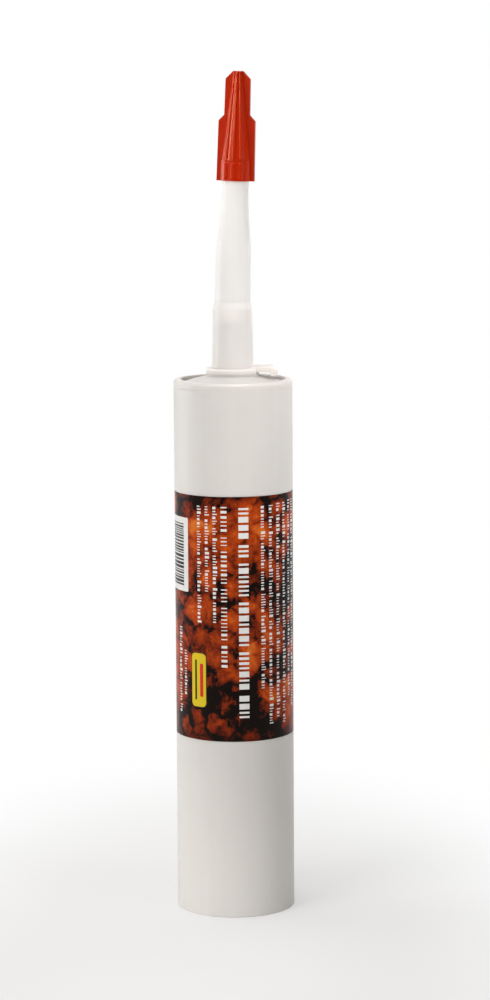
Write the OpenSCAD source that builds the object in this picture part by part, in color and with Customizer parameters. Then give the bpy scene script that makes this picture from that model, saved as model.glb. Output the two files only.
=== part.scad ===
// A plastic sealant cartridge with its nozzle and cap, standing on its open rear end.
// Millimetres. The barrel's axis is +Z and the origin is the centre of the rear rim.
// The spout leans towards +X, and the nozzle's foot tab points that way too.

/* [Barrel] */
// Outer diameter of the barrel
barrel_d = 49.5; // [47:0.5:54]
// Height of the front rim's top above the rear rim
barrel_h = 224.2; // [200:0.2:260]
// Thickness of the barrel's side wall
barrel_wall = 1.5; // [1.2:0.1:2]
// Thickness of the end wall under the groove
end_wall = 1.8; // [1.4:0.1:2.4]
// Depth of the slightly wider mouth at the rear, where the gun's plunger enters
mouth_depth = 12; // [8:0.5:13]
// Extra radius of that mouth over the bore
mouth_step = 0.35; // [0.2:0.05:0.6]

/* [Front rim and slope] */
// Radial width of the front rim
rim_w = 2.75; // [2.4:0.05:4]
// Rounding radius on the rim's outer edge
rim_round = 1.6; // [0.8:0.1:2]
// Height of the rim's top above the fine line round the barrel under it
rim_h = 3.1; // [2.6:0.1:4]
// Depth of that line
rim_line = 0.15; // [0.1:0.05:0.3]
// Width of the groove behind the rim
groove_w = 1.4; // [1:0.1:2]
// Depth of that groove below the rim's top
groove_depth = 2.5; // [1.8:0.1:3.5]
// How far the slope's outer edge lies below the rim's top
slope_drop = 1.3; // [0.6:0.1:1.7]
// Rise of the slope from its outer edge to the collar
slope_rise = 2.6; // [1.5:0.1:4]
// Diameter of the collar that the nozzle seats on
collar_d = 21.8; // [18:0.2:24]
// Height of that collar above the slope
collar_h = 1; // [0.6:0.1:2]

/* [Neck] */
// Outer diameter of the neck at the root of its thread
neck_d = 13.2; // [12.4:0.1:13.6]
// Height of the neck above the collar
neck_h = 18.2; // [14:0.2:19]
// Diameter of the passage through the neck
neck_bore_d = 10; // [7:0.2:10.4]
// Thickness of the skin that closes the neck until it is cut
skin_t = 1.2; // [0.8:0.1:2]
// Diameter of the nib that is cut off to open the neck
nib_d = 5; // [3.6:0.2:7]
// Height of that nib
nib_h = 3; // [1.5:0.1:3.8]
// Height of the thread's ridge, kept free between the neck and the nozzle
thread_h = 0.5; // [0.3:0.05:0.5]

/* [Nozzle] */
// Diameter of the flange at the nozzle's foot
flange_d = 22.1; // [20:0.1:26]
// Thickness of that flange
flange_t = 2.2; // [1.6:0.1:3]
// Height of the upright skirt above the flange
skirt_h = 27.3; // [26:0.1:34]
// Outer diameter of the skirt just above the flange
skirt_d = 17.2; // [16.6:0.1:19]
// Outer diameter of the skirt at its top
skirt_top_d = 16.2; // [16:0.1:16.6]
// Height of the slanting shoulder between the skirt and the spout
shoulder_h = 2.6; // [1:0.1:4]
// Angle between the spout and the barrel's axis
spout_lean = 1.9; // [0:0.1:3]
// Outer diameter of the spout at the skirt
spout_d = 14.7; // [14.2:0.1:15]
// Height of the nearly straight shank of the spout
shank_h = 19.5; // [12:0.5:30]
// Outer diameter at the top of that shank
shank_top_d = 14.4; // [13:0.1:14.6]
// Height of the tapering stretch above the shank
taper_h = 22; // [16:0.5:32]
// Outer diameter of the slim stretch that enters the cap
slim_d = 10.84; // [10:0.02:11.2]
// Height of the slim stretch below the cap
slim_h = 8.5; // [4:0.5:14]
// Length of the tip hidden in the cap
tip_h = 30; // [22:0.5:32]
// Outer diameter of the tip's end
tip_d = 5.2; // [4.8:0.1:5.6]
// Diameter of the hole at the tip's end
tip_bore_d = 3.2; // [2.4:0.1:3.4]
// Thickness of the spout's wall
spout_wall = 1.05; // [0.8:0.05:1.2]

/* [Foot tab] */
// Distance from the axis to the tip of the tab on the nozzle's foot
tab_reach = 18.6; // [16:0.2:19]
// Width of the tab
tab_w = 11; // [8:0.5:14]
// Thickness of the tab
tab_t = 2.2; // [1.4:0.1:2.4]
// Height of the tab's top above the flange
tab_lift = 0.6; // [0.2:0.1:0.8]
// Thickness of the tab's turned-down lip
lip_t = 0.95; // [0.7:0.05:1.4]
// Height of the tab's end with that lip
lip_drop = 3.8; // [2.6:0.1:4.6]
// Radius of the tab's rounded end, seen from the side
tab_round = 2.8; // [1.5:0.1:3]
// Corner radius of the tab in plan
tab_corner = 2.9; // [1.6:0.1:3.6]

/* [Cap] */
// Length of the cap
cap_h = 44.9; // [42:0.1:50]
// Height of the round ring at the cap's mouth
ring_h = 8.4; // [6:0.1:10]
// Outer diameter of that ring at the mouth
ring_d = 12.9; // [12.8:0.02:14]
// Outer diameter of the ring where the ribs begin
ring_top_d = 12.8; // [12.6:0.02:13.8]
// Width across the two wings at the mouth
wing_d = 16; // [15.8:0.1:18]
// Width across the wings just below their step
wing_top_d = 15.44; // [14:0.02:15.8]
// Height of the step in the wings above the mouth
wing_h = 24.6; // [18:0.1:30]
// Height of the slanting step itself
step_h = 2.4; // [1.6:0.1:4]
// Width across the wings above the step
nose_d = 10.88; // [9.6:0.02:12]
// Width across the wings where the top's slant begins
nose_top_d = 10.5; // [9:0.1:11]
// Height of the slant at the cap's top
nose_slant_h = 3.2; // [2:0.1:5]
// Diameter of the cap's flat top
top_d = 4.4; // [3.8:0.1:6]
// Thickness of each wing
wing_t = 1.7; // [1.2:0.1:2.4]
// Turn of the wings about the spout's axis, from the line of the lean
wing_turn = -12; // [-40:1:40]
// Outer diameter of the cap's core where it leaves the ring
core_d = 12.3; // [12.2:0.1:12.5]
// Number of places round the cap for its ribs, of which the wings take two
rib_places = 12; // [8:2:16]
// Number of places on each side of a wing that have no rib
plain_places = 1; // [0:1:2]
// Radius of each small rib at the ring
rib_r = 0.8; // [0.6:0.05:0.9]
// Radius of each small rib at the cap's top
rib_top_r = 0.42; // [0.3:0.02:0.5]
// Radius of each bead on the ring
bead_r = 1.1; // [0.8:0.05:1.2]
// How far each bead stands out of the ring's top
bead_out = 0.7; // [0.5:0.05:0.9]
// Length of each bead
bead_h = 6.4; // [4:0.1:6.6]
// Length of the pin inside the cap that plugs the tip
plug_h = 5; // [3:0.5:10]

/* [Piston] */
// Height of the piston's rear edge above the rear rim
piston_from = 13.5; // [13.5:0.5:30]
// Height of the piston's side
piston_h = 18; // [14:0.5:24]
// Wall thickness of the piston
piston_wall = 1.5; // [1.2:0.1:2]
// Height of each of the two wiping lips
lip_h = 2.6; // [1.6:0.1:4]
// Depth of the piston's waist between the lips
waist_depth = 0.5; // [0.3:0.1:1]
// Number of stiffening ribs inside the piston
stiffeners = 6; // [4:1:10]
// Height of those ribs
stiffener_h = 3; // [2:0.5:5]

/* [Label] */
// Height of the label's lower edge
label_from = 75.1; // [40:0.1:90]
// Height of the label
label_h = 102.5; // [60:0.5:105]
// Thickness of the label
label_t = 0.12; // [0.08:0.02:0.2]

/* [Clearances] */
// Clearance between the piston's lips and the bore
slide_gap = 0.12; // [0.08:0.02:0.2]
// Clearance round the filling
fill_gap = 0.15; // [0.1:0.05:0.3]
// Clearance between the cap and the spout
cap_gap = 0.25; // [0.15:0.05:0.35]
// Clearance between the thread's ridge and the nozzle's skirt
thread_gap = 0.25; // [0.15:0.05:0.3]
// Clearance between parts that rest near each other
rest_gap = 0.3; // [0.2:0.05:0.4]
// Thickness of the glue under the label
glue_t = 0.02; // [0.01:0.01:0.04]

/* [Hidden] */
$fn = 96;
foot_chamfer = 0.2;
neck_chamfer = 0.6;
line_half = 0.4;
throat_rise = 1;
throat_step = 0.3;
label_edge_gap = 0.15;
spout_root = 3;
shoulder_edge = 0.15;
flange_chamfer = 0.3;
nib_taper = 0.6;
beads_up = 0.9;
rib_start = 0.5;
overshoot = 1;

barrel_r = barrel_d / 2;
bore_r = barrel_r - barrel_wall;
mouth_r = bore_r + mouth_step;
groove_r = barrel_r - rim_w;
slope_r = groove_r - groove_w;
slope_z = barrel_h - slope_drop;
groove_z = barrel_h - groove_depth;
line_z = barrel_h - rim_h;
collar_r = collar_d / 2;
collar_z = slope_z + slope_rise;
seat_z = collar_z + collar_h;
neck_r = neck_d / 2;
neck_top = seat_z + neck_h;
neck_bore_r = neck_bore_d / 2;
under_z = groove_z - end_wall;
under_rise = slope_rise + throat_rise;
panel_r = barrel_r - label_t - glue_t;
label_top = label_from + label_h;

flange_top = seat_z + flange_t;
pivot_z = flange_top + skirt_h;
skirt_bore_r = neck_r + thread_h + thread_gap;
skirt_bore_top = neck_top + nib_h + rest_gap;
spout_bore_r = spout_d / 2 - spout_wall;
throat_r = spout_bore_r + throat_step;
taper_from = shank_h;
slim_from = taper_from + taper_h;
cap_from = slim_from + slim_h;
tip_end = cap_from + tip_h;

core_top_r = top_d / 2;
cap_slant_z = cap_h - nose_slant_h;
nose_z = wing_h + step_h;

lip_r = bore_r - slide_gap;
cup_r = lip_r - waist_depth - piston_wall;
piston_top = piston_from + piston_h;
web_z = piston_top - piston_wall;

// The line that the end wall's underside, the filling and the piston's face all follow,
// from a radius near the bore to the axis, with its outer end at height z
function throat_line(z) = [[slope_r, z], [neck_bore_r, z + under_rise]];

// Barrel, end wall and neck, moulded in one piece
module barrel_outline() {
    polygon([
        [0, 0], [barrel_r - foot_chamfer, 0], [barrel_r, foot_chamfer],
        [barrel_r, label_from - label_edge_gap], [panel_r, label_from - label_edge_gap],
        [panel_r, label_top + label_edge_gap], [barrel_r, label_top + label_edge_gap],
        [barrel_r, line_z - line_half], [barrel_r - rim_line, line_z], [barrel_r, line_z + line_half],
        [barrel_r, barrel_h], [groove_r, barrel_h], [groove_r, groove_z], [slope_r, groove_z],
        [slope_r, slope_z], [collar_r, collar_z], [collar_r, seat_z], [neck_r, seat_z],
        [neck_r, neck_top - neck_chamfer], [neck_r - neck_chamfer, neck_top],
        [nib_d / 2, neck_top], [nib_d / 2 - nib_taper, neck_top + nib_h], [0, neck_top + nib_h]
    ]);
}

module barrel_hollow() {
    polygon(concat(
        [[0, -overshoot], [mouth_r + foot_chamfer + overshoot, -overshoot],
         [mouth_r, foot_chamfer], [mouth_r, mouth_depth], [bore_r, mouth_depth + mouth_step],
         [bore_r, under_z]],
        throat_line(under_z),
        [[neck_bore_r, neck_top - skin_t], [0, neck_top - skin_t]]
    ));
}

module outer_corner(r) {
    difference() {
        square(r + overshoot);
        circle(r);
    }
}

module barrel() {
    color([0.93, 0.92, 0.88])
    rotate_extrude()
    difference() {
        barrel_outline();
        barrel_hollow();
        translate([barrel_r - rim_round, barrel_h - rim_round]) outer_corner(rim_round);
    }
}

// Printed film round the barrel, in a shallow panel as deep as the film
module label() {
    color([0.25, 0.08, 0.04])
    rotate_extrude()
    translate([panel_r + glue_t, label_from]) square([label_t, label_h]);
}

// Places what follows on the leaning axis of the spout
module on_spout(height) {
    translate([0, 0, pivot_z]) rotate([0, spout_lean, 0]) translate([0, 0, height]) children();
}

module spout_outline() {
    polygon([
        [0, -spout_root], [spout_d / 2, -spout_root], [spout_d / 2, 0],
        [shank_top_d / 2, taper_from], [slim_d / 2, slim_from], [slim_d / 2, cap_from],
        [tip_d / 2, tip_end], [0, tip_end]
    ]);
}

module spout_hollow() {
    polygon([
        [0, -spout_root - overshoot], [spout_bore_r, -spout_root - overshoot], [spout_bore_r, 0],
        [shank_top_d / 2 - spout_wall, taper_from], [slim_d / 2 - spout_wall, slim_from],
        [slim_d / 2 - spout_wall, cap_from], [tip_bore_d / 2, tip_end],
        [tip_bore_d / 2, tip_end + overshoot], [0, tip_end + overshoot]
    ]);
}

module skirt_outline() {
    polygon([
        [0, seat_z], [flange_d / 2, seat_z], [flange_d / 2, flange_top - flange_chamfer],
        [flange_d / 2 - flange_chamfer, flange_top], [skirt_d / 2, flange_top],
        [skirt_top_d / 2, pivot_z - shoulder_h], [spout_d / 2 + shoulder_edge, pivot_z],
        [0, pivot_z]
    ]);
}

module skirt_hollow() {
    polygon([
        [0, seat_z - overshoot], [skirt_bore_r, seat_z - overshoot],
        [skirt_bore_r, skirt_bore_top], [throat_r, skirt_bore_top + overshoot],
        [throat_r, pivot_z - spout_root / 2], [0, pivot_z - spout_root / 2]
    ]);
}

// Plan of the foot tab, drawn in from its edge by inset
module tab_plan(inset) {
    half_w = tab_w / 2 - inset;
    straight = tab_reach - tab_corner;
    translate([0, -half_w]) square([straight, 2 * half_w]);
    translate([0, -tab_w / 2 + tab_corner]) square([tab_reach - inset, tab_w - 2 * tab_corner]);
    for (side = [-1, 1])
        translate([straight, side * (tab_w / 2 - tab_corner)]) circle(tab_corner - inset);
}

module foot_tab() {
    tab_top = flange_top + tab_lift;
    lip_z = tab_top - lip_drop;
    intersection() {
        difference() {
            translate([0, 0, lip_z]) linear_extrude(lip_drop) tab_plan(0);
            translate([0, 0, lip_z - overshoot]) linear_extrude(lip_drop - tab_t + overshoot)
            union() {
                tab_plan(lip_t);
                translate([-overshoot, -tab_w]) square([tab_reach - tab_corner + overshoot, 2 * tab_w]);
            }
        }
        rotate([90, 0, 0]) linear_extrude(2 * tab_w, center = true)
        difference() {
            translate([-overshoot, lip_z - overshoot])
                square([tab_reach + overshoot, lip_drop + overshoot]);
            translate([tab_reach - tab_round, tab_top - tab_round]) outer_corner(tab_round);
        }
    }
}

module nozzle() {
    color([0.96, 0.96, 0.95])
    difference() {
        union() {
            rotate_extrude() skirt_outline();
            on_spout(0) rotate_extrude() spout_outline();
            foot_tab();
        }
        rotate_extrude() skirt_hollow();
        on_spout(0) rotate_extrude() spout_hollow();
    }
}

// Turned outline that every rib and wing of the cap stays inside
module cap_outline() {
    polygon([
        [0, 0], [wing_d / 2, 0], [wing_top_d / 2, wing_h], [nose_d / 2, nose_z],
        [nose_top_d / 2, cap_slant_z], [core_top_r, cap_h], [0, cap_h]
    ]);
}

module cap_body() {
    rotate_extrude()
    polygon([
        [0, 0], [ring_d / 2, 0], [ring_top_d / 2, ring_h], [core_d / 2, ring_h],
        [core_top_r, cap_h], [0, cap_h]
    ]);
}

// How many places a place is away from the nearest wing
function from_wing(i) = min(i % (rib_places / 2), rib_places / 2 - i % (rib_places / 2));

// A rounded rib that lies along the core, from the ring to the top
module small_rib() {
    rise = cap_h - ring_h;
    lean = atan((core_d / 2 - core_top_r) / rise);
    translate([core_d / 2, 0, ring_h])
    rotate([0, -lean, 0]) translate([0, 0, rib_start])
        cylinder(h = rise / cos(lean), r1 = rib_r, r2 = rib_top_r);
}

module wing() {
    translate([0, -wing_t / 2, 0]) cube([wing_d, wing_t, cap_h]);
}

module bead() {
    translate([ring_top_d / 2 + bead_out - bead_r, 0, beads_up]) {
        cylinder(h = bead_h, r = bead_r);
        translate([0, 0, bead_h]) cylinder(h = bead_r, r1 = bead_r, r2 = 0);
    }
}

module cap_hollow() {
    rotate_extrude()
    polygon([
        [0, -overshoot], [slim_d / 2 + cap_gap + overshoot, -overshoot],
        [slim_d / 2 + cap_gap, cap_gap], [tip_d / 2 + cap_gap, tip_h], [tip_d / 2 + cap_gap, tip_h + cap_gap],
        [0, tip_h + cap_gap]
    ]);
}

module cap() {
    color([0.84, 0.2, 0.11])
    on_spout(cap_from) {
        difference() {
            union() {
                intersection() {
                    union() {
                        cap_body();
                        for (i = [0 : rib_places - 1])
                            rotate([0, 0, wing_turn + i * 360 / rib_places])
                            if (from_wing(i) == 0) wing();
                            else if (from_wing(i) > plain_places) small_rib();
                    }
                    rotate_extrude() cap_outline();
                }
                for (i = [0 : rib_places - 1])
                    if (from_wing(i) > plain_places)
                        rotate([0, 0, wing_turn + i * 360 / rib_places]) bead();
            }
            cap_hollow();
        }
        translate([0, 0, tip_h - plug_h]) cylinder(h = plug_h + 2 * cap_gap, r = tip_bore_d / 2 - cap_gap);
    }
}

// Cup-shaped piston, open to the rear, whose face follows the end wall's underside
module piston() {
    color([0.85, 0.84, 0.78]) {
        rotate_extrude()
        difference() {
            polygon(concat(
                [[0, piston_from], [lip_r, piston_from], [lip_r, piston_from + lip_h],
                 [lip_r - waist_depth, piston_from + lip_h + waist_depth],
                 [lip_r - waist_depth, piston_top - lip_h - waist_depth],
                 [lip_r, piston_top - lip_h], [lip_r, piston_top]],
                throat_line(piston_top),
                [[0, piston_top + under_rise]]
            ));
            polygon(concat(
                [[0, piston_from - overshoot], [cup_r, piston_from - overshoot], [cup_r, web_z]],
                [for (p = throat_line(web_z)) [p[0] - piston_wall, p[1]]],
                [[0, web_z + under_rise]]
            ));
        }
        intersection() {
            translate([0, 0, web_z - stiffener_h]) cylinder(h = stiffener_h + under_rise, r = cup_r + overshoot / 2);
            rotate_extrude()
            polygon(concat(
                [[0, piston_from], [lip_r, piston_from], [lip_r, web_z + piston_wall / 2]],
                throat_line(web_z + piston_wall / 2),
                [[0, web_z + under_rise + piston_wall / 2]]
            ));
            for (i = [0 : stiffeners - 1])
                rotate([0, 0, i * 360 / stiffeners])
                translate([0, -piston_wall / 2, piston_from]) cube([barrel_r, piston_wall, 2 * piston_h]);
        }
    }
}

// The filling, between the piston's face and the closed neck
module sealant() {
    bottom = piston_top + fill_gap;
    top = under_z - fill_gap;
    side_r = bore_r - fill_gap;
    plug_r = neck_bore_r - fill_gap;
    color([0.55, 0.55, 0.53])
    rotate_extrude()
    polygon([
        [0, bottom + under_rise], [neck_bore_r, bottom + under_rise], [slope_r, bottom],
        [side_r, bottom], [side_r, top], [slope_r, top], [neck_bore_r, top + under_rise],
        [plug_r, top + under_rise], [plug_r, neck_top - skin_t - fill_gap],
        [0, neck_top - skin_t - fill_gap]
    ]);
}

barrel();
label();
nozzle();
cap();
piston();
sealant();
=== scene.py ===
"""The looks of a sealant cartridge: its finishes, print, thread and filling, on a pale stage."""

import math
import random

import bmesh
import bpy
from bpy.props import FloatProperty, FloatVectorProperty, IntProperty, PointerProperty
from mathutils import Matrix, Vector


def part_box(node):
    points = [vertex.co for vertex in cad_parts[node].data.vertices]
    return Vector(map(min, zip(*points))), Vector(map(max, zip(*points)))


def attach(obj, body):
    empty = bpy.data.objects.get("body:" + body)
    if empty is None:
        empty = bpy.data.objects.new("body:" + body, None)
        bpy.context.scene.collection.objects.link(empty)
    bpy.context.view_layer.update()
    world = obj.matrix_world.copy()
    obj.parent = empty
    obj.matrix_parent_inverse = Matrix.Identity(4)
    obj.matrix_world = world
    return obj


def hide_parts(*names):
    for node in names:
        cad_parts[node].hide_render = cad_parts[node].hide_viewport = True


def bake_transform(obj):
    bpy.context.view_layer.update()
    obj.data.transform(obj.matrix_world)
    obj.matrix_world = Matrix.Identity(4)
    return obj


bl_info = {
    "name": "Sealant Cartridge Looks",
    "version": (1, 0, 0),
    "blender": (4, 5, 0),
    "location": "View3D > Sidebar > Cartridge",
    "description": "Finishes, print, thread and filling of a sealant cartridge, with its stage",
    "category": "Object",
}

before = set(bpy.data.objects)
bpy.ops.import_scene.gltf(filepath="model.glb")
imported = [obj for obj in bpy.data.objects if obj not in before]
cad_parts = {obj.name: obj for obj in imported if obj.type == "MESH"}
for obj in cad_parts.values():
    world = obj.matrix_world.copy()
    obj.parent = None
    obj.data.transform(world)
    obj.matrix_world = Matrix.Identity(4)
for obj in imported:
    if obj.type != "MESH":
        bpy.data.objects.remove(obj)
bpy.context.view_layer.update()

MM = 0.001
LABEL_LOW, LABEL_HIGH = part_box("label")
LABEL_RADIUS = LABEL_HIGH.x
FILLING_LOW, FILLING_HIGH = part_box("sealant")
NOZZLE_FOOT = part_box("nozzle")[0].z
PRINT_EDGE = math.radians(30)


def colour_prop(name, description, default):
    """A colour that a user may change, in linear values."""
    return FloatVectorProperty(
        name=name, description=description, default=default, size=3, min=0, max=1, subtype="COLOR"
    )


def length_prop(name, description, default):
    """A length that a user may change, in metres."""
    return FloatProperty(
        name=name, description=description, default=default, min=0, precision=5, unit="LENGTH",
        subtype="DISTANCE"
    )


class PlasticSettings(bpy.types.PropertyGroup):
    """Colours of the moulded and extruded plastics."""

    barrel: colour_prop("Barrel", "Warm white of the barrel", (0.705, 0.675, 0.638))
    barrel_shade: colour_prop(
        "Barrel streaks", "Darker tone of the barrel's faint streaks", (0.677, 0.644, 0.608)
    )
    nozzle: colour_prop("Nozzle", "Milky white of the nozzle", (0.942, 0.868, 0.82))
    cap: colour_prop("Cap", "Red-orange of the cap", (0.45, 0.017, 0.001))
    piston: colour_prop("Piston", "Natural tone of the piston", (0.66, 0.64, 0.56))
    filling: colour_prop("Filling", "Grey of the sealing paste", (0.2, 0.2, 0.19))


class PrintSettings(bpy.types.PropertyGroup):
    """Colours and sizes of the label's print."""

    dark: colour_prop("Dark ground", "Nearly black tone of the label", (0.007, 0.004, 0.003))
    ember: colour_prop("Ember", "Deep red-brown of the label", (0.19, 0.021, 0.004))
    glow: colour_prop("Glow", "Orange-red of the label's bright patches", (0.46, 0.058, 0.006))
    spark: colour_prop("Spark", "Orange of the label's hottest spots", (0.6, 0.15, 0.02))
    white: colour_prop("White ink", "White of the rows and the panel", (0.75, 0.735, 0.71))
    black: colour_prop("Black ink", "Black of the panel's stripes", (0.015, 0.014, 0.013))
    yellow: colour_prop("Yellow ink", "Yellow of the plain plaque", (0.68, 0.5, 0.02))
    red: colour_prop("Red ink", "Red of the plaque's bar", (0.6, 0.03, 0.02))
    ink: length_prop("Ink height", "How far the ink stands over the label", 0.03 * MM)
    seed: IntProperty(name="Seed", description="Picks the widths of the blocks and stripes", default=7)


class ThreadSettings(bpy.types.PropertyGroup):
    """Sizes of the thread on the neck."""

    root: length_prop("Root radius", "Radius of the neck under the thread", 6.6 * MM)
    height: length_prop("Ridge height", "Height of the thread's ridge over the neck", 0.5 * MM)
    pitch: length_prop("Pitch", "Rise of the thread in one turn", 3 * MM)
    start: length_prop("Start", "Height of the thread's first turn above the rear rim", 229.5 * MM)
    turns: FloatProperty(name="Turns", description="Number of turns of the thread", default=4.25, min=1)


def new_material(name, colour, roughness, specular=0.5):
    """A new material with these values, and its Principled shader."""
    material = bpy.data.materials.new(name)
    material.use_nodes = True
    shader = material.node_tree.nodes["Principled BSDF"]
    shader.inputs["Base Color"].default_value = (*colour, 1)
    shader.inputs["Roughness"].default_value = roughness
    shader.inputs["Specular IOR Level"].default_value = specular
    return material, shader


def add_node(tree, kind, values=None, **settings):
    """A node of that kind, with its settings and the values of its named or numbered inputs."""
    node = tree.nodes.new(kind)
    for key, value in settings.items():
        setattr(node, key, value)
    for key, value in (values or {}).items():
        node.inputs[key].default_value = value
    return node


def colour_ramp(tree, steps):
    """A colour ramp with these steps, each a position from 0 to 1 and a colour."""
    ramp = add_node(tree, "ShaderNodeValToRGB")
    elements = ramp.color_ramp.elements
    for element, (position, colour) in zip(elements, (steps[0], steps[-1])):
        element.position, element.color = position, (*colour, 1)
    for position, colour in steps[1:-1]:
        elements.new(position).color = (*colour, 1)
    return ramp


def new_group(name, inputs, outputs):
    """A shader group with named inputs and outputs, and its two end nodes."""
    group = bpy.data.node_groups.new(name, "ShaderNodeTree")
    for label, kind, value in inputs:
        socket = group.interface.new_socket(name=label, in_out="INPUT", socket_type=kind)
        if value is not None:
            socket.default_value = value
    for label, kind in outputs:
        group.interface.new_socket(name=label, in_out="OUTPUT", socket_type=kind)
    return group, group.nodes.new("NodeGroupInput"), group.nodes.new("NodeGroupOutput")


def grain_group():
    """Skin of a moulded plastic: a faint tint, an uneven roughness and a fine uneven height."""
    known = bpy.data.node_groups.get("Moulded skin")
    if known:
        return known
    group, start, end = new_group(
        "Moulded skin",
        [
            ("Vector", "NodeSocketVector", None),
            ("Patch Scale", "NodeSocketFloat", 60.0),
            ("Streak Scale", "NodeSocketFloat", 600.0),
            ("Pit Scale", "NodeSocketFloat", 2500.0),
            ("Roughness", "NodeSocketFloat", 0.4),
            ("Roughness Spread", "NodeSocketFloat", 0.08),
        ],
        [
            ("Tint", "NodeSocketFloat"),
            ("Roughness", "NodeSocketFloat"),
            ("Height", "NodeSocketFloat"),
        ],
    )
    link = group.links.new
    streak_shape = (1, 1, 0.03)
    pit_share = 0.35
    patches = add_node(group, "ShaderNodeTexNoise", {"Detail": 3.0, "Roughness": 0.55})
    link(start.outputs["Vector"], patches.inputs["Vector"])
    link(start.outputs["Patch Scale"], patches.inputs["Scale"])
    along = add_node(group, "ShaderNodeMapping", {"Scale": streak_shape})
    link(start.outputs["Vector"], along.inputs["Vector"])
    streaks = add_node(group, "ShaderNodeTexNoise", {"Detail": 2.0, "Roughness": 0.6})
    link(along.outputs["Vector"], streaks.inputs["Vector"])
    link(start.outputs["Streak Scale"], streaks.inputs["Scale"])
    pits = add_node(group, "ShaderNodeTexNoise", {"Detail": 2.0, "Roughness": 0.5})
    link(start.outputs["Vector"], pits.inputs["Vector"])
    link(start.outputs["Pit Scale"], pits.inputs["Scale"])

    tint = add_node(group, "ShaderNodeMath", {1: 0.5}, operation="MULTIPLY_ADD")
    link(patches.outputs["Fac"], tint.inputs[0])
    half_streak = add_node(group, "ShaderNodeMath", {1: 0.5}, operation="MULTIPLY")
    link(streaks.outputs["Fac"], half_streak.inputs[0])
    link(half_streak.outputs[0], tint.inputs[2])
    link(tint.outputs[0], end.inputs["Tint"])

    centred = add_node(group, "ShaderNodeMath", {1: 0.5}, operation="SUBTRACT")
    link(tint.outputs[0], centred.inputs[0])
    rough = add_node(group, "ShaderNodeMath", operation="MULTIPLY_ADD")
    link(centred.outputs[0], rough.inputs[0])
    link(start.outputs["Roughness Spread"], rough.inputs[1])
    link(start.outputs["Roughness"], rough.inputs[2])
    link(rough.outputs[0], end.inputs["Roughness"])

    height = add_node(group, "ShaderNodeMath", {1: pit_share}, operation="MULTIPLY_ADD")
    link(pits.outputs["Fac"], height.inputs[0])
    link(tint.outputs[0], height.inputs[2])
    link(height.outputs[0], end.inputs["Height"])
    return group


def skin(material, shader, light, dark, bump, scales, spread=0.08):
    """Gives a material its skin: two near tones, an uneven roughness and a fine bump.

    The scales are those of the patches, the streaks and the pits, per metre. Returns the ramp of the tones.
    """
    tree = material.node_tree
    link = tree.links.new
    place = add_node(tree, "ShaderNodeTexCoord")
    grain = add_node(tree, "ShaderNodeGroup", node_tree=grain_group())
    for key, value in zip(("Patch Scale", "Streak Scale", "Pit Scale"), scales):
        grain.inputs[key].default_value = value
    grain.inputs["Roughness"].default_value = shader.inputs["Roughness"].default_value
    grain.inputs["Roughness Spread"].default_value = spread
    link(place.outputs["Object"], grain.inputs["Vector"])
    tones = colour_ramp(tree, ((0.3, dark), (0.7, light)))
    link(grain.outputs["Tint"], tones.inputs["Fac"])
    link(tones.outputs["Color"], shader.inputs["Base Color"])
    link(grain.outputs["Roughness"], shader.inputs["Roughness"])
    relief = add_node(tree, "ShaderNodeBump", {"Strength": 1.0, "Distance": bump})
    link(grain.outputs["Height"], relief.inputs["Height"])
    link(relief.outputs["Normal"], shader.inputs["Normal"])
    return tones


def shade_of(colour, share):
    """A colour made darker to that share."""
    return tuple(c * share for c in colour)


def let_light_in(shader, share, reach, tint):
    """Lets light into a plastic: how much, how deep, and the share of that depth for each colour."""
    shader.inputs["Subsurface Weight"].default_value = share
    shader.inputs["Subsurface Scale"].default_value = reach
    shader.inputs["Subsurface Radius"].default_value = tint


def barrel_plastic(look):
    """Satin white of the extruded barrel, with faint streaks along it."""
    material, shader = new_material("barrel_satin_white", look.barrel, roughness=0.42)
    skin(
        material, shader, look.barrel, look.barrel_shade, bump=0.02 * MM, scales=(35.0, 260.0, 2200.0)
    )
    let_light_in(shader, share=0.6, reach=3 * MM, tint=(1.0, 0.95, 0.9))
    return material


def nozzle_plastic(look):
    """Milky plastic that lets light in, with painted shade that darkens the skirt over the neck and near
    the tip.
    """
    rise = 100 * MM
    # Height above the nozzle's foot, and the share of its full tone there: painted shade, darker in the
    # skirt and near the tip
    shares = ((27 * MM, 0.89), (33 * MM, 1.0), (85 * MM, 0.96))

    material, shader = new_material("nozzle_milky_white", look.nozzle, roughness=0.4, specular=0.3)
    tones = skin(
        material, shader, look.nozzle, shade_of(look.nozzle, 0.96), bump=0.01 * MM,
        scales=(70.0, 500.0, 2600.0)
    )
    tree = material.node_tree
    place = add_node(tree, "ShaderNodeTexCoord")
    split = add_node(tree, "ShaderNodeSeparateXYZ")
    tree.links.new(place.outputs["Object"], split.inputs[0])
    height = add_node(
        tree, "ShaderNodeMapRange", {"From Min": NOZZLE_FOOT, "From Max": NOZZLE_FOOT + rise}
    )
    tree.links.new(split.outputs["Z"], height.inputs["Value"])
    # Painted shade: the tone is made darker in the skirt over the neck and near the tip
    painted_shade_ramp = colour_ramp(tree, [(up / rise, (share,) * 3) for up, share in shares])
    tree.links.new(height.outputs["Result"], painted_shade_ramp.inputs["Fac"])
    body = add_node(tree, "ShaderNodeMix", {"Factor": 1.0}, data_type="RGBA", blend_type="MULTIPLY")
    tree.links.new(tones.outputs["Color"], body.inputs["A"])
    tree.links.new(painted_shade_ramp.outputs["Color"], body.inputs["B"])
    tree.links.new(body.outputs["Result"], shader.inputs["Base Color"])
    let_light_in(shader, share=0.8, reach=3.5 * MM, tint=(1.0, 0.97, 0.94))
    return material


def cap_plastic(look):
    """Smooth red-orange plastic with a warm gloss, a little deeper in tone in patches."""
    material, shader = new_material("cap_red_orange", look.cap, roughness=0.22, specular=0.62)
    shader.inputs["Specular Tint"].default_value = (1.0, 0.5, 0.3, 1)
    skin(
        material, shader, look.cap, shade_of(look.cap, 0.9), bump=0.004 * MM, scales=(150.0, 400.0, 3000.0)
    )
    return material


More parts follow.
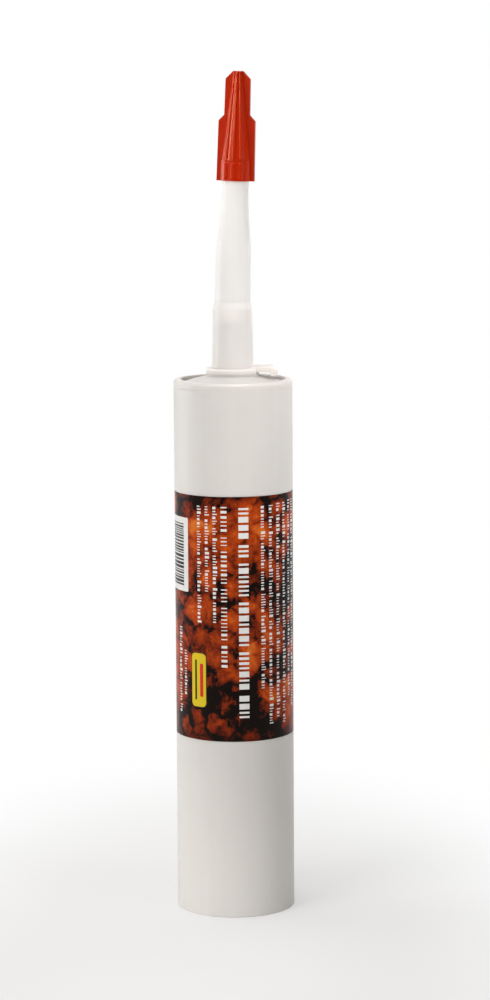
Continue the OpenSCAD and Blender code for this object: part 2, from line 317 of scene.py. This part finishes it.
def piston_plastic(look):
    """Natural plastic of the piston, waxy and slightly yellow."""
    material, shader = new_material("piston_natural", look.piston, roughness=0.45)
    skin(
        material, shader, look.piston, shade_of(look.piston, 0.93), bump=0.02 * MM,
        scales=(80.0, 500.0, 2500.0)
    )
    return material


def filling_paste(look):
    """Grey sealing paste with a soft uneven surface."""
    material, shader = new_material("filling_paste", look.filling, roughness=0.55)
    skin(
        material, shader, look.filling, shade_of(look.filling, 0.85), bump=0.15 * MM,
        scales=(200.0, 300.0, 1500.0)
    )
    return material


def ember_group():
    """Soft fiery mottle, from about 0 in the dark hollows to about 1 where it glows."""
    group, start, end = new_group(
        "Ember mottle",
        [
            ("Vector", "NodeSocketVector", None),
            ("Field Scale", "NodeSocketFloat", 30.0),
            ("Lump Scale", "NodeSocketFloat", 130.0),
            ("Speck Scale", "NodeSocketFloat", 420.0),
            ("Lift", "NodeSocketFloat", -1.32),
        ],
        [("Heat", "NodeSocketFloat")],
    )
    link = group.links.new
    bend = 9 * MM
    warp = add_node(group, "ShaderNodeTexNoise", {"Scale": 110.0, "Detail": 4.0})
    link(start.outputs["Vector"], warp.inputs["Vector"])
    push = add_node(group, "ShaderNodeVectorMath", {1: (0.5, 0.5, 0.5)}, operation="SUBTRACT")
    link(warp.outputs["Color"], push.inputs[0])
    bent = add_node(group, "ShaderNodeVectorMath", {1: (bend,) * 3}, operation="MULTIPLY_ADD")
    link(push.outputs[0], bent.inputs[0])
    link(start.outputs["Vector"], bent.inputs[2])

    lumps = add_node(group, "ShaderNodeTexVoronoi", {"Smoothness": 0.3}, feature="SMOOTH_F1")
    link(bent.outputs[0], lumps.inputs["Vector"])
    link(start.outputs["Lump Scale"], lumps.inputs["Scale"])
    each = add_node(group, "ShaderNodeSeparateColor")
    link(lumps.outputs["Color"], each.inputs[0])
    field = add_node(group, "ShaderNodeTexNoise", {"Detail": 6.0, "Roughness": 0.62})
    link(bent.outputs[0], field.inputs["Vector"])
    link(start.outputs["Field Scale"], field.inputs["Scale"])
    specks = add_node(group, "ShaderNodeTexNoise", {"Detail": 5.0, "Roughness": 0.7})
    link(bent.outputs[0], specks.inputs["Vector"])
    link(start.outputs["Speck Scale"], specks.inputs["Scale"])

    # What raises or lowers the heat, and by how much
    gains = (
        (field.outputs["Fac"], 2.2), (each.outputs[0], 0.5), (lumps.outputs["Distance"], -0.65),
        (specks.outputs["Fac"], 1.1),
    )
    total = start.outputs["Lift"]
    for value, gain in gains:
        part = add_node(group, "ShaderNodeMath", {1: gain}, operation="MULTIPLY_ADD")
        link(value, part.inputs[0])
        link(total, part.inputs[2])
        total = part.outputs[0]
    link(total, end.inputs["Heat"])
    return group


def label_film(look):
    """Glossy film printed with a plain fiery mottle that darkens to both edges."""
    material, shader = new_material("label_fiery_film", look.dark, roughness=0.26, specular=0.06)
    tree = material.node_tree
    link = tree.links.new
    place = add_node(tree, "ShaderNodeTexCoord")
    mottle = add_node(tree, "ShaderNodeGroup", node_tree=ember_group())
    link(place.outputs["Object"], mottle.inputs["Vector"])

    split = add_node(tree, "ShaderNodeSeparateXYZ")
    link(place.outputs["Object"], split.inputs[0])
    low, high = LABEL_LOW.z, LABEL_HIGH.z
    low_fade, high_fade = 14 * MM, 8 * MM
    up, down = (
        add_node(
            tree, "ShaderNodeMapRange", {"From Min": edge, "From Max": inside},
            interpolation_type="SMOOTHSTEP"
        )
        for edge, inside in ((low - low_fade / 2, low + low_fade), (high + high_fade, high - high_fade))
    )
    for fade in (up, down):
        link(split.outputs["Z"], fade.inputs["Value"])
    both = add_node(tree, "ShaderNodeMath", operation="MULTIPLY")
    link(up.outputs["Result"], both.inputs[0])
    link(down.outputs["Result"], both.inputs[1])
    kept = add_node(tree, "ShaderNodeMath", operation="MULTIPLY")
    link(mottle.outputs["Heat"], kept.inputs[0])
    link(both.outputs[0], kept.inputs[1])

    tones = colour_ramp(tree, ((0.05, look.dark), (0.24, look.ember), (0.6, look.glow), (0.85, look.spark)))
    link(kept.outputs[0], tones.inputs["Fac"])
    link(tones.outputs["Color"], shader.inputs["Base Color"])
    return material


def ink(name, colour):
    """Printing ink with an even gloss."""
    material, shader = new_material(name, colour, roughness=0.3, specular=0.12)
    skin(
        material, shader, colour, shade_of(colour, 0.94), bump=0.002 * MM, scales=(300.0, 300.0, 3000.0),
        spread=0.03
    )
    return material


def finish_node(node, material):
    """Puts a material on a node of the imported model."""
    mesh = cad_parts[node].data
    mesh.materials.clear()
    mesh.materials.append(material)


def keep_piece(bm, name, material, body, smooth_angle):
    """Makes a bmesh an object in its place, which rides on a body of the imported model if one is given."""
    bmesh.ops.recalc_face_normals(bm, faces=bm.faces)
    mesh = bpy.data.meshes.new(name)
    bm.to_mesh(mesh)
    bm.free()
    mesh.materials.append(material)
    mesh.shade_smooth()
    mesh.set_sharp_from_angle(angle=smooth_angle)
    piece = bpy.data.objects.new(name, mesh)
    bpy.context.scene.collection.objects.link(piece)
    if body:
        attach(piece, body)
    return piece


def lathe(bm, outline, steps):
    """Turns an outline of radii and heights about the Z axis."""
    points = [bm.verts.new((radius, 0, height)) for radius, height in outline]
    edges = [bm.edges.new(pair) for pair in zip(points, points[1:])]
    bmesh.ops.spin(
        bm, geom=points + edges, cent=(0, 0, 0), axis=(0, 0, 1), angle=2 * math.pi, steps=steps,
        use_merge=True
    )
    bmesh.ops.remove_doubles(bm, verts=bm.verts, dist=0.001 * MM)


def thread_ridge(bm, look):
    """One helical ridge round the neck, which runs out softly at both ends."""
    steps_a_turn = 48
    sunk = 0.15 * MM
    foot, crest = 0.95 * MM, 0.3 * MM
    outline = [
        (look.root - sunk, -foot), (look.root + look.height, -crest),
        (look.root + look.height, crest), (look.root - sunk, foot),
    ]
    points = [bm.verts.new((radius, 0, look.start + height)) for radius, height in outline]
    section = bm.faces.new(points)
    steps = round(look.turns * steps_a_turn)
    bmesh.ops.spin(
        bm, geom=[section], cent=(0, 0, 0), axis=(0, 0, 1), dvec=(0, 0, look.pitch / steps_a_turn),
        angle=look.turns * 2 * math.pi, steps=steps
    )
    run_out = look.pitch * 0.35
    end = look.start + look.pitch * look.turns
    for v in bm.verts:
        radius = math.hypot(v.co.x, v.co.y)
        if radius < look.root:
            continue
        room = min(v.co.z - look.start + crest, end + crest - v.co.z) / run_out
        kept = look.root - sunk / 2 + (radius - look.root + sunk / 2) * min(1, max(0, room))
        v.co.x *= kept / radius
        v.co.y *= kept / radius


def add_patch(bm, across, up, width, height, corner=0.0):
    """A flat patch of print on the unrolled label: its centre, its size and its corner radius."""
    place = Matrix.Translation((across, up, 0)) @ Matrix.Diagonal((width / 2, height / 2, 1, 1))
    made = bmesh.ops.create_grid(bm, x_segments=1, y_segments=1, size=1, matrix=place)
    if corner:
        bmesh.ops.bevel(
            bm, geom=made["verts"], offset=corner, segments=5, profile=0.5, affect="VERTICES", material=-1
        )


def wrap_print(bm, depth, ink_height):
    """Cuts flat print into strips, gives it its thickness and rolls it round the label."""
    strip = 1.1 * MM
    reach = max(abs(v.co.x) for v in bm.verts)
    for k in range(-math.ceil(reach / strip), math.ceil(reach / strip) + 1):
        bmesh.ops.bisect_plane(
            bm, geom=bm.verts[:] + bm.edges[:] + bm.faces[:], dist=0.001 * MM, plane_co=(k * strip, 0, 0),
            plane_no=(1, 0, 0)
        )
    for v in bm.verts:
        v.co.z = -depth
    top = bmesh.ops.extrude_face_region(bm, geom=bm.faces[:])
    raised = [v for v in top["geom"] if isinstance(v, bmesh.types.BMVert)]
    bmesh.ops.translate(bm, verts=raised, vec=(0, 0, depth + ink_height))
    for v in bm.verts:
        angle = v.co.x / LABEL_RADIUS
        radius = LABEL_RADIUS + v.co.z
        v.co = Vector((radius * math.sin(angle), -radius * math.cos(angle), v.co.y))


def across_at(degrees):
    """Distance round the label from its front to an angle, towards +X."""
    return math.radians(degrees) * LABEL_RADIUS


def block_row(bm, chance, degrees, top, bottom, tall, pitch, tall_share, fill):
    """A row of plain blocks in groups that runs down the label, each block tall or short.

    The tall share is how many blocks are tall, and fill is about how much of the pitch a block takes.
    """
    at = top
    across = across_at(degrees)
    short = tall * 0.68
    widths = (0.6, 0.8, 1.7)
    block_gap = pitch * (1 - fill) * 0.7
    group_gap = pitch * 0.6
    while at - 2 * pitch > bottom:
        count = chance.randint(3, 9)
        for _ in range(count):
            width = pitch * fill * chance.choice(widths)
            if at - width < bottom:
                return
            height = tall if chance.random() < tall_share else short
            add_patch(bm, across - (tall - height) / 2, at - width / 2, height, width)
            at -= width + block_gap
        at -= group_gap


class CARTRIDGE_OT_barrel(bpy.types.Operator):
    """Give the barrel its satin white plastic"""

    bl_idname = "cartridge.barrel"
    bl_label = "Finish Barrel"

    def execute(self, context):
        finish_node("barrel", barrel_plastic(context.scene.cartridge_plastic))
        return {"FINISHED"}


class CARTRIDGE_OT_thread(bpy.types.Operator):
    """Add the thread on the neck under the nozzle"""

    bl_idname = "cartridge.thread"
    bl_label = "Add Neck Thread"

    def execute(self, context):
        bm = bmesh.new()
        thread_ridge(bm, context.scene.cartridge_thread)
        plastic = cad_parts["barrel"].data.materials[0]
        keep_piece(bm, "neck_thread", plastic, "barrel", math.radians(40))
        return {"FINISHED"}


class CARTRIDGE_OT_label(bpy.types.Operator):
    """Give the label its glossy film with a fiery mottle"""

    bl_idname = "cartridge.label"
    bl_label = "Finish Label"

    def execute(self, context):
        finish_node("label", label_film(context.scene.cartridge_print))
        return {"FINISHED"}


class CARTRIDGE_OT_rows(bpy.types.Operator):
    """Add the rows of plain blocks that run down the label"""

    bl_idname = "cartridge.rows"
    bl_label = "Add Print Rows"

    # Degrees from the label's front, then top, bottom, tall block and pitch in mm, tall share and fill
    ROWS = (
        (9.4, 173.0, 84.5, 4.2, 2.8, 1.0, 0.5),
        (-9.6, 173.5, 105.0, 2.5, 2.2, 1.0, 0.29),
        (-18.4, 173.5, 125.0, 1.9, 1.6, 0.3, 0.38),
        (-26.6, 173.5, 134.0, 1.9, 1.6, 0.3, 0.38),
        (-35.4, 173.5, 122.0, 1.9, 1.6, 0.3, 0.36),
        (29.3, 173.5, 93.0, 2.0, 1.6, 0.3, 0.38),
        (38.3, 173.5, 81.0, 2.0, 1.6, 0.3, 0.38),
        (47.6, 174.0, 84.0, 2.0, 1.6, 0.3, 0.38),
        (57.0, 174.0, 81.0, 2.0, 1.6, 0.3, 0.38),
        (66.5, 174.5, 90.0, 2.0, 1.6, 0.3, 0.38),
        (75.5, 174.5, 84.0, 2.4, 1.6, 0.4, 0.42),
        (-54.5, 112.0, 92.5, 2.0, 1.6, 0.3, 0.4),
        (-64.0, 121.5, 85.0, 2.2, 1.6, 0.3, 0.4),
    )

    def execute(self, context):
        look = context.scene.cartridge_print
        chance = random.Random(look.seed)
        white = ink("ink_white", look.white)
        for number, (degrees, top, bottom, tall, pitch, tall_share, fill) in enumerate(self.ROWS):
            bm = bmesh.new()
            block_row(bm, chance, degrees, top * MM, bottom * MM, tall * MM, pitch * MM, tall_share, fill)
            wrap_print(bm, depth=0.05 * MM, ink_height=look.ink)
            name = "print_title" if number == 0 else f"print_row_{number}"
            keep_piece(bm, name, white, "barrel", PRINT_EDGE)
        return {"FINISHED"}


class CARTRIDGE_OT_panel(bpy.types.Operator):
    """Add the white panel with plain stripes"""

    bl_idname = "cartridge.stripe_panel"
    bl_label = "Add Striped Panel"

    def execute(self, context):
        look = context.scene.cartridge_print
        low, high = 136.8 * MM, 167.8 * MM
        right, left = across_at(-50), across_at(-88)
        bm = bmesh.new()
        add_patch(bm, (left + right) / 2, (low + high) / 2, right - left, high - low, corner=0.6 * MM)
        wrap_print(bm, depth=0.05 * MM, ink_height=look.ink)
        white = ink("ink_panel", look.white)
        keep_piece(bm, "print_panel", white, "barrel", PRINT_EDGE)

        bm = bmesh.new()
        chance = random.Random(look.seed + 1)
        margin = 2.6 * MM
        widths, gaps = (0.45, 0.75, 1.15), (0.4, 0.6)
        right, left = across_at(-57), across_at(-83)
        at = high - margin
        while at > low + margin:
            width = chance.choice(widths) * MM
            add_patch(bm, (left + right) / 2, at - width / 2, right - left, width)
            at -= width + chance.choice(gaps) * MM
        wrap_print(bm, depth=0.02 * MM, ink_height=2 * look.ink)
        black = ink("ink_black", look.black)
        keep_piece(bm, "print_stripes", black, "barrel", PRINT_EDGE)
        return {"FINISHED"}


class CARTRIDGE_OT_plaque(bpy.types.Operator):
    """Add the plain yellow plaque with its dark border and two bars"""

    bl_idname = "cartridge.plaque"
    bl_label = "Add Yellow Plaque"

    def execute(self, context):
        look = context.scene.cartridge_print
        middle, across = 100.4 * MM, across_at(-37)
        width, height, border = 7.2 * MM, 22.6 * MM, 0.35 * MM
        # Name, colour, offset to the right, width, height, corner radius and number of the ink layer
        layers = (
            ("print_plaque_border", look.black, 0, width + 2 * border, height + 2 * border, 2.2 * MM, 1),
            ("print_plaque", look.yellow, 0, width, height, 1.8 * MM, 2),
            ("print_plaque_bar", look.red, 1.5 * MM, 1.6 * MM, 14 * MM, 0.5 * MM, 3),
            ("print_plaque_line", look.black, -1.4 * MM, 0.9 * MM, 17 * MM, 0.4 * MM, 3),
        )
        for name, colour, right, wide, high, corner, layer in layers:
            bm = bmesh.new()
            add_patch(bm, across + right, middle, wide, high, corner)
            wrap_print(bm, depth=0.02 * MM, ink_height=layer * look.ink)
            colour_ink = ink(f"ink_of_{name}", colour)
            keep_piece(bm, name, colour_ink, "barrel", PRINT_EDGE)
        return {"FINISHED"}


class CARTRIDGE_OT_nozzle(bpy.types.Operator):
    """Give the nozzle its milky plastic"""

    bl_idname = "cartridge.nozzle"
    bl_label = "Finish Nozzle"

    def execute(self, context):
        finish_node("nozzle", nozzle_plastic(context.scene.cartridge_plastic))
        return {"FINISHED"}


class CARTRIDGE_OT_cap(bpy.types.Operator):
    """Give the cap its red-orange plastic"""

    bl_idname = "cartridge.cap"
    bl_label = "Finish Cap"

    def execute(self, context):
        finish_node("cap", cap_plastic(context.scene.cartridge_plastic))
        return {"FINISHED"}


class CARTRIDGE_OT_piston(bpy.types.Operator):
    """Give the piston its natural plastic"""

    bl_idname = "cartridge.piston"
    bl_label = "Finish Piston"

    def execute(self, context):
        finish_node("piston", piston_plastic(context.scene.cartridge_plastic))
        return {"FINISHED"}


class CARTRIDGE_OT_filling(bpy.types.Operator):
    """Add the paste that the piston pushes towards the neck"""

    bl_idname = "cartridge.filling"
    bl_label = "Add Filling"

    def execute(self, context):
        neck_radius, slope_radius = 5 * MM, 20.6 * MM
        plug_radius = 4.85 * MM
        rise = 3.6 * MM
        low, high = FILLING_LOW.z, 219.75 * MM
        side = FILLING_HIGH.x
        bm = bmesh.new()
        lathe(bm, [
            (0, low + rise), (neck_radius, low + rise), (slope_radius, low), (side, low),
            (side, high), (slope_radius, high), (neck_radius, high + rise), (plug_radius, high + rise),
            (plug_radius, FILLING_HIGH.z), (0, FILLING_HIGH.z),
        ], steps=96)
        paste = filling_paste(context.scene.cartridge_plastic)
        piece = keep_piece(bm, "paste", paste, None, math.radians(15))
        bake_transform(piece)
        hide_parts("sealant")
        return {"FINISHED"}


def ray_share(tree):
    """A value of 1 where the camera, a reflection or a clear material sees a background, else 0."""
    rays = add_node(tree, "ShaderNodeLightPath")
    seen = rays.outputs["Is Camera Ray"]
    for other in ("Is Glossy Ray", "Is Transmission Ray"):
        larger = add_node(tree, "ShaderNodeMath", operation="MAXIMUM")
        tree.links.new(seen, larger.inputs[0])
        tree.links.new(rays.outputs[other], larger.inputs[1])
        seen = larger.outputs[0]
    return seen


def white_or_room(tree, coordinate, front, back):
    """The level of a background: white where the camera looks at it, and in reflections of the backdrop.

    Reflections show a dim room where the Y coordinate is below front, and white where it is above back.
    """
    room = 0.06
    split = add_node(tree, "ShaderNodeSeparateXYZ")
    tree.links.new(coordinate, split.inputs[0])
    backdrop = add_node(
        tree, "ShaderNodeMapRange", {"From Min": front, "From Max": back, "To Min": room},
        interpolation_type="SMOOTHSTEP"
    )
    tree.links.new(split.outputs["Y"], backdrop.inputs["Value"])
    rays = add_node(tree, "ShaderNodeLightPath")
    level = add_node(tree, "ShaderNodeMath", operation="MAXIMUM")
    tree.links.new(backdrop.outputs["Result"], level.inputs[0])
    tree.links.new(rays.outputs["Is Camera Ray"], level.inputs[1])
    return level.outputs[0]


def white_world(scene, strength):
    """A white world that lights evenly, and is plain white where the camera sees it."""
    world = bpy.data.worlds.new("studio_white")
    world.use_nodes = True
    tree = world.node_tree
    tree.nodes.clear()
    light = add_node(tree, "ShaderNodeBackground", {"Color": (1, 1, 1, 1), "Strength": strength})
    seen = add_node(tree, "ShaderNodeBackground", {"Color": (1, 1, 1, 1)})
    view = add_node(tree, "ShaderNodeTexCoord")
    level = white_or_room(tree, view.outputs["Generated"], front=0.1, back=0.8)
    tree.links.new(level, seen.inputs["Strength"])
    mix = add_node(tree, "ShaderNodeMixShader")
    end = add_node(tree, "ShaderNodeOutputWorld")
    tree.links.new(ray_share(tree), mix.inputs["Fac"])
    tree.links.new(light.outputs[0], mix.inputs[1])
    tree.links.new(seen.outputs[0], mix.inputs[2])
    tree.links.new(mix.outputs[0], end.inputs["Surface"])
    scene.world = world


def pale_floor():
    """A pale floor that keeps the shadow near the cartridge and fades to white further off.

    The fade runs from near to far around its middle, and counts depth less than width. A least share of
    white is seen even near the cartridge.
    """
    half = 6.0
    middle = Vector((-0.01, -0.1, 0))
    near, far, depth_share, least_white = 0.07, 0.2, 0.5, 0.28
    bm = bmesh.new()
    bmesh.ops.create_grid(bm, x_segments=2, y_segments=2, size=half)
    mesh = bpy.data.meshes.new("floor")
    bm.to_mesh(mesh)
    bm.free()
    floor = bpy.data.objects.new("floor", mesh)
    bpy.context.scene.collection.objects.link(floor)

    material, shader = new_material("floor_pale", (0.94, 0.928, 0.914), roughness=0.9, specular=0.1)
    tree = material.node_tree
    link = tree.links.new
    place = add_node(tree, "ShaderNodeTexCoord")
    away = add_node(tree, "ShaderNodeVectorMath", {1: middle}, operation="SUBTRACT")
    link(place.outputs["Object"], away.inputs[0])
    flat = add_node(tree, "ShaderNodeVectorMath", {1: (1, depth_share, 1)}, operation="MULTIPLY")
    link(away.outputs[0], flat.inputs[0])
    gap = add_node(tree, "ShaderNodeVectorMath", operation="LENGTH")
    link(flat.outputs[0], gap.inputs[0])
    fade = add_node(
        tree, "ShaderNodeMapRange", {"From Min": near, "From Max": far, "To Min": least_white},
        interpolation_type="SMOOTHSTEP"
    )
    link(gap.outputs["Value"], fade.inputs["Value"])
    seen = add_node(tree, "ShaderNodeMath", operation="MULTIPLY")
    link(fade.outputs["Result"], seen.inputs[0])
    link(ray_share(tree), seen.inputs[1])
    white = add_node(tree, "ShaderNodeEmission", {"Color": (1, 1, 1, 1)})
    link(white_or_room(tree, place.outputs["Object"], front=-0.9, back=-0.3), white.inputs["Strength"])
    mix = add_node(tree, "ShaderNodeMixShader")
    link(seen.outputs[0], mix.inputs["Fac"])
    link(shader.outputs[0], mix.inputs[1])
    link(white.outputs[0], mix.inputs[2])
    link(mix.outputs[0], tree.nodes["Material Output"].inputs["Surface"])
    mesh.materials.append(material)


def soft_lamp(name, azimuth, distance, height, aim, size, power, spread, mirrored):
    """A square soft lamp that looks at a height on the axis. Reflections show it if it is mirrored.

    Azimuth and spread are in degrees: azimuth 0 stands in front and 90 towards +X.
    """
    turn = math.radians(azimuth)
    spot = Vector((math.sin(turn) * distance, -math.cos(turn) * distance, height))
    data = bpy.data.lights.new(name, "AREA")
    data.size = size
    data.energy = power
    data.spread = math.radians(spread)
    lamp = bpy.data.objects.new(name, data)
    lamp.location = spot
    lamp.visible_glossy = mirrored
    lamp.rotation_mode = "QUATERNION"
    lamp.rotation_quaternion = (Vector((0, 0, aim)) - spot).to_track_quat("-Z", "Y")
    bpy.context.scene.collection.objects.link(lamp)


def photo_camera(scene):
    """The camera, at the photograph's distance, height and tilt."""
    spot = (4.75 * MM, -1228.9 * MM, 341.7 * MM)
    tilt, roll = math.radians(90 - 7.816), math.radians(-0.343)
    data = bpy.data.cameras.new("camera")
    data.lens = 106.63
    data.sensor_width = 36
    camera = bpy.data.objects.new("camera", data)
    turn = Matrix.Rotation(tilt, 4, "X") @ Matrix.Rotation(roll, 4, "Z")
    camera.matrix_world = Matrix.Translation(spot) @ turn
    scene.collection.objects.link(camera)
    scene.camera = camera


class CARTRIDGE_OT_stage(bpy.types.Operator):
    """Set up the pale floor, the soft lamps, the white world and the camera"""

    bl_idname = "cartridge.stage"
    bl_label = "Set Up Stage"

    # Name, azimuth, distance, height, height it looks at, size, power, spread, whether mirrored
    LAMPS = (
        ("lamp_front_left", -43, 1.4, 0.48, 0.12, 0.8, 9.1, 180.0, False),
        ("lamp_left_high", -64, 0.4, 0.45, 0.35, 0.1, 0.019, 26.0, True),
        ("lamp_left", -108, 1.0, 0.25, 0.1, 0.4, 1.65, 180.0, True),
        ("lamp_low", -10, 0.5, 0.09, -0.015, 0.1, 0.0062, 11.0, False),
        ("lamp_right_high", 55, 0.4, 0.36, 0.24, 0.2, 0.085, 35.0, False),
        ("lamp_top", 180, 0.1, 1.5, 0.1, 0.8, 9.0, 180.0, True),
    )

    def execute(self, context):
        scene = context.scene
        scene.view_settings.view_transform = "Standard"
        white_world(scene, strength=0.3)
        pale_floor()
        for lamp in self.LAMPS:
            soft_lamp(*lamp)
        photo_camera(scene)
        return {"FINISHED"}


PIECE_OPERATORS = (
    CARTRIDGE_OT_barrel,
    CARTRIDGE_OT_thread,
    CARTRIDGE_OT_label,
    CARTRIDGE_OT_rows,
    CARTRIDGE_OT_panel,
    CARTRIDGE_OT_plaque,
    CARTRIDGE_OT_nozzle,
    CARTRIDGE_OT_cap,
    CARTRIDGE_OT_piston,
    CARTRIDGE_OT_filling,
    CARTRIDGE_OT_stage,
)


class CARTRIDGE_PT_looks(bpy.types.Panel):
    """Lists the cartridge's pieces and their colours and sizes"""

    bl_label = "Sealant Cartridge"
    bl_idname = "CARTRIDGE_PT_looks"
    bl_space_type = "VIEW_3D"
    bl_region_type = "UI"
    bl_category = "Cartridge"

    def draw(self, context):
        for settings in (
            context.scene.cartridge_plastic, context.scene.cartridge_print, context.scene.cartridge_thread
        ):
            column = self.layout.box().column()
            for name in settings.bl_rna.properties.keys():
                if name not in ("name", "rna_type"):
                    column.prop(settings, name)
        for operator in PIECE_OPERATORS:
            self.layout.operator(operator.bl_idname)


CLASSES = (PlasticSettings, PrintSettings, ThreadSettings, *PIECE_OPERATORS, CARTRIDGE_PT_looks)


def register():
    for cls in CLASSES:
        bpy.utils.register_class(cls)
    bpy.types.Scene.cartridge_plastic = PointerProperty(type=PlasticSettings)
    bpy.types.Scene.cartridge_print = PointerProperty(type=PrintSettings)
    bpy.types.Scene.cartridge_thread = PointerProperty(type=ThreadSettings)


def unregister():
    del bpy.types.Scene.cartridge_thread
    del bpy.types.Scene.cartridge_print
    del bpy.types.Scene.cartridge_plastic
    for cls in reversed(CLASSES):
        bpy.utils.unregister_class(cls)


def main():
    register()
    for operator in PIECE_OPERATORS:
        group, call = operator.bl_idname.split(".")
        getattr(getattr(bpy.ops, group), call)()


if __name__ == "__main__":
    main()
